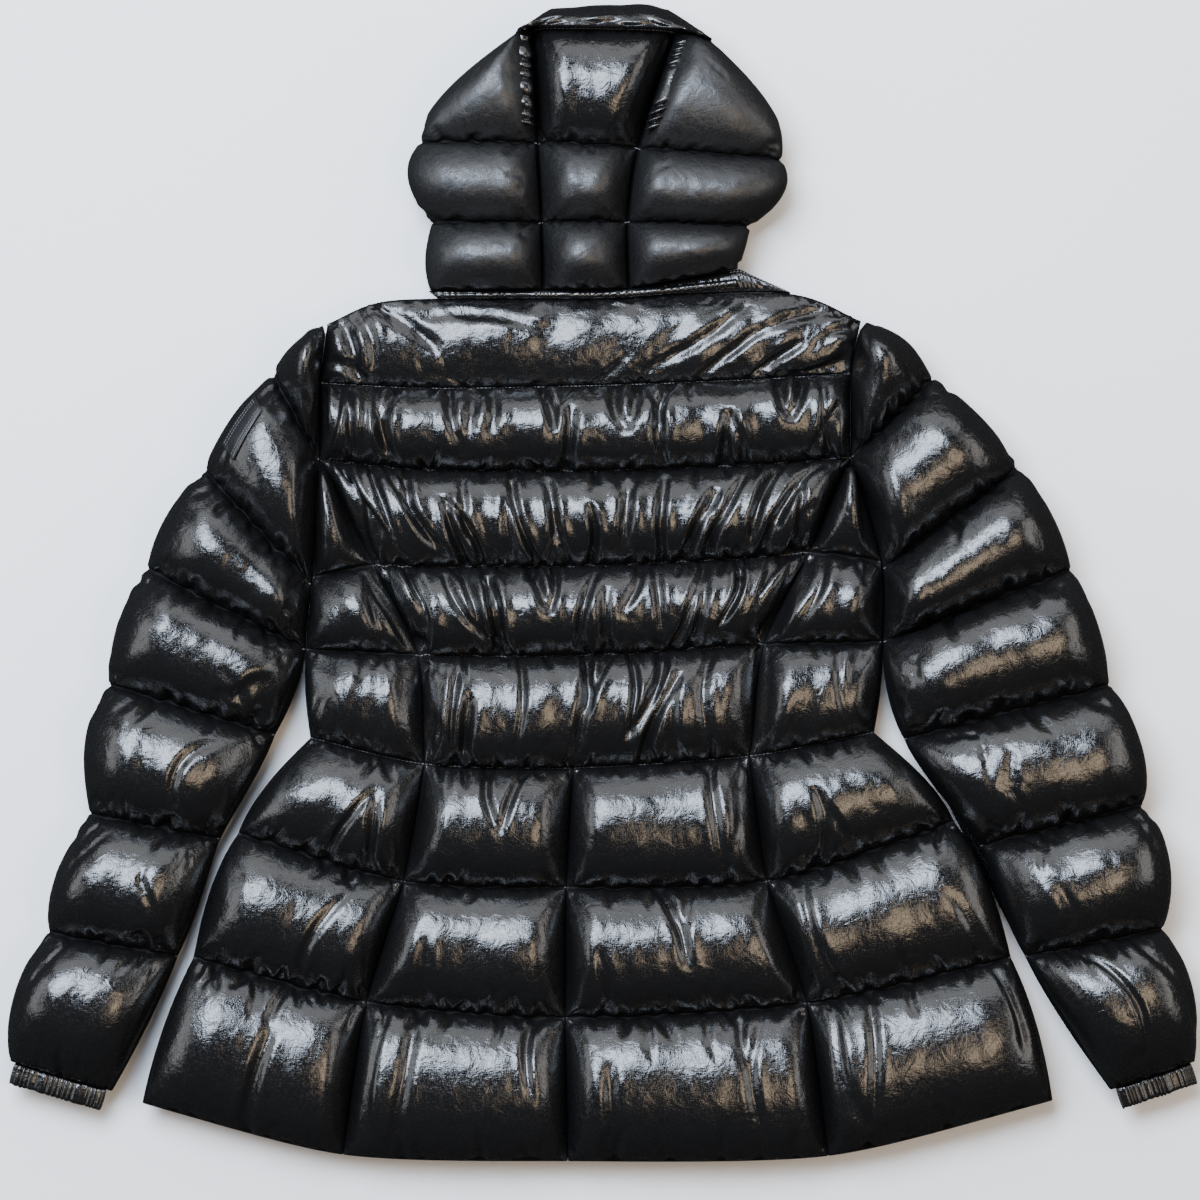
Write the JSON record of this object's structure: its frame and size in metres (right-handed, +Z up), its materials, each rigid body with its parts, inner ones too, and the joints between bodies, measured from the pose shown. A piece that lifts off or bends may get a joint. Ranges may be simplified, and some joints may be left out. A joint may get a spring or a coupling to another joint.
{
  "type": "hooded puffer jacket",
  "caption": "Hip-length hooded puffer jacket with a flared skirt and gathered cuffs, laid flat on its front with its quilted back uppermost.",
  "frame": {"origin": "centre of the jacket's footprint on the surface it lies on", "axes": "+Z up out of the back of the jacket, +Y from the hem to the hood, +X to the wearer's right sleeve"},
  "size_m": [0.9056, 0.881, 0.0721],
  "materials": {
    "shell": "high-gloss laminated nylon over down",
    "cuff": "glossy nylon gathered on elastic",
    "zip_tape": "woven polyester tape",
    "zip_metal": "dark plated"
  },
  "bodies": {
    "root": {"back_yoke": "shell", "back_centre": "shell", "back_side_L": "shell", "back_side_R": "shell", "skirt_side_L": "shell", "skirt_mid_L": "shell", "skirt_mid_R": "shell", "skirt_side_R": "shell", "front_L": "shell", "front_R": "shell", "sleeve_back_L": "shell", "sleeve_front_L": "shell", "sleeve_back_R": "shell", "sleeve_front_R": "shell", "sleeve_patch": "shell", "hood_centre": "shell", "hood_side_L": "shell", "hood_side_R": "shell", "hood_band": "shell", "collar": "shell", "cuff_L": "cuff", "cuff_R": "cuff", "zip_tape": "zip_tape", "zip_slider": "zip_metal"}
  },
  "joints": []
}
